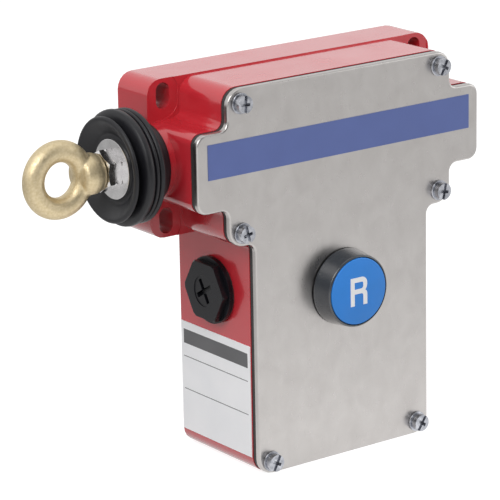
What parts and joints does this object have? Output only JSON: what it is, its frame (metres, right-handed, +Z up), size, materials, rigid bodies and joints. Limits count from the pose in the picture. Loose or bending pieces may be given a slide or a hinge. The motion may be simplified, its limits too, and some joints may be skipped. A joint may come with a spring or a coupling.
{
  "type": "rope pull switch",
  "caption": "T-shaped red die-cast safety switch with a steel cover, a sprung pull rod and brass eye in a rubber boot, and a blue reset button.",
  "frame": {"origin": "on the mounting face, on the centre plane, midway between the upper and lower mounting slots", "axes": "+Y out of the mounting face towards the wall, -Y out of the cover; +X to the right, the rod leaves towards -X; +Z up, the column hangs towards -Z"},
  "size_m": [0.1802, 0.055, 0.143],
  "materials": {
    "red_paint": "glossy red enamel on a zinc die casting",
    "stainless": "matt, lightly brushed stainless sheet",
    "gasket_rubber": "dark nitrile sheet",
    "boot_rubber": "black moulded rubber",
    "zinc_steel": "bright zinc-plated steel",
    "bright_steel": "nickel-plated steel",
    "spring_steel": "spring steel",
    "brass": "tumbled brass casting",
    "bronze": "sintered bronze",
    "copper": "copper alloy strip",
    "black_plastic": "black glass-filled polyamide",
    "bezel_plastic": "dark grey satin plastic",
    "blue_plastic": "blue moulded plastic",
    "ivory_plastic": "ivory moulded plastic",
    "blue_film": "blue printed film, left bare",
    "white_film": null
  },
  "bodies": {
    "body": {"housing": "red_paint", "cover": "stainless", "cover_gasket": "gasket_rubber", "cover_screws": "zinc_steel", "cover_washers": "zinc_steel", "front_strip": "blue_film", "side_label": "white_film", "front_bush": "bronze", "rear_bush": "bronze", "chassis_plate": "zinc_steel", "chassis_screws": "zinc_steel", "rocker_post": "zinc_steel", "rocker_clip": "spring_steel", "contact_block": "black_plastic", "block_screws": "zinc_steel", "fixed_contacts": "copper", "terminal_screws": "zinc_steel", "terminal_clamps": "zinc_steel", "latch_pin": "zinc_steel", "latch_spring": "spring_steel", "reset_bezel": "bezel_plastic", "reset_seal": "gasket_rubber", "reset_nut": "black_plastic", "reset_spring": "spring_steel", "left_plug": "black_plastic", "left_plug_seal": "gasket_rubber", "right_plug": "black_plastic", "right_plug_seal": "gasket_rubber", "earth_screw": "zinc_steel", "rubber_boot": "boot_rubber", "main_spring": "spring_steel"},
    "rod": {"pull_rod": "zinc_steel", "pull_eye": "brass", "lock_nut": "bright_steel", "rod_washer": "bright_steel", "spring_seat": "zinc_steel", "drive_spool": "zinc_steel", "rod_clip": "spring_steel"},
    "rocker": {"rocker_lever": "zinc_steel", "rocker_roller": "bronze", "drive_pin": "bronze"},
    "carrier": {"contact_carrier": "ivory_plastic", "contact_bridges": "copper"},
    "button": {"reset_cap": "blue_plastic", "reset_plunger": "black_plastic", "plunger_clip": "spring_steel"},
    "latch": {"latch_lever": "zinc_steel"}
  },
  "joints": [
    {"name": "rod_pull", "type": "slide", "parent": "body", "child": "rod", "axis": [-1, 0, 0], "range_m": [0, 0.018], "stiffness_N_per_m": 2000, "springref_m": -0.02, "deforming": ["main_spring", "rubber_boot"]},
    {"name": "rocker_turn", "type": "hinge", "parent": "body", "child": "rocker", "pos_m": [-0.002, -0.032, -0.025], "axis": [0, -1, 0], "range_deg": [0, 41]},
    {"name": "contact_slide", "type": "slide", "parent": "body", "child": "carrier", "axis": [1, 0, 0], "range_m": [0, 0.0064]},
    {"name": "reset_press", "type": "slide", "parent": "body", "child": "button", "axis": [0, 1, 0], "range_m": [0, 0.003], "stiffness_N_per_m": 600, "springref_m": -0.004, "deforming": ["reset_spring"]},
    {"name": "latch_turn", "type": "hinge", "parent": "body", "child": "latch", "pos_m": [0.013, -0.0279, -0.04084], "axis": [1, 0, 0], "range_deg": [0, 17.5]}
  ],
  "couplings": [
    {"joint": "rocker_turn", "follows": "rod_pull", "rad_per_m": 39.274},
    {"joint": "contact_slide", "follows": "rod_pull", "ratio": 0.34615},
    {"joint": "latch_turn", "follows": "reset_press", "rad_per_m": 98.902}
  ]
}
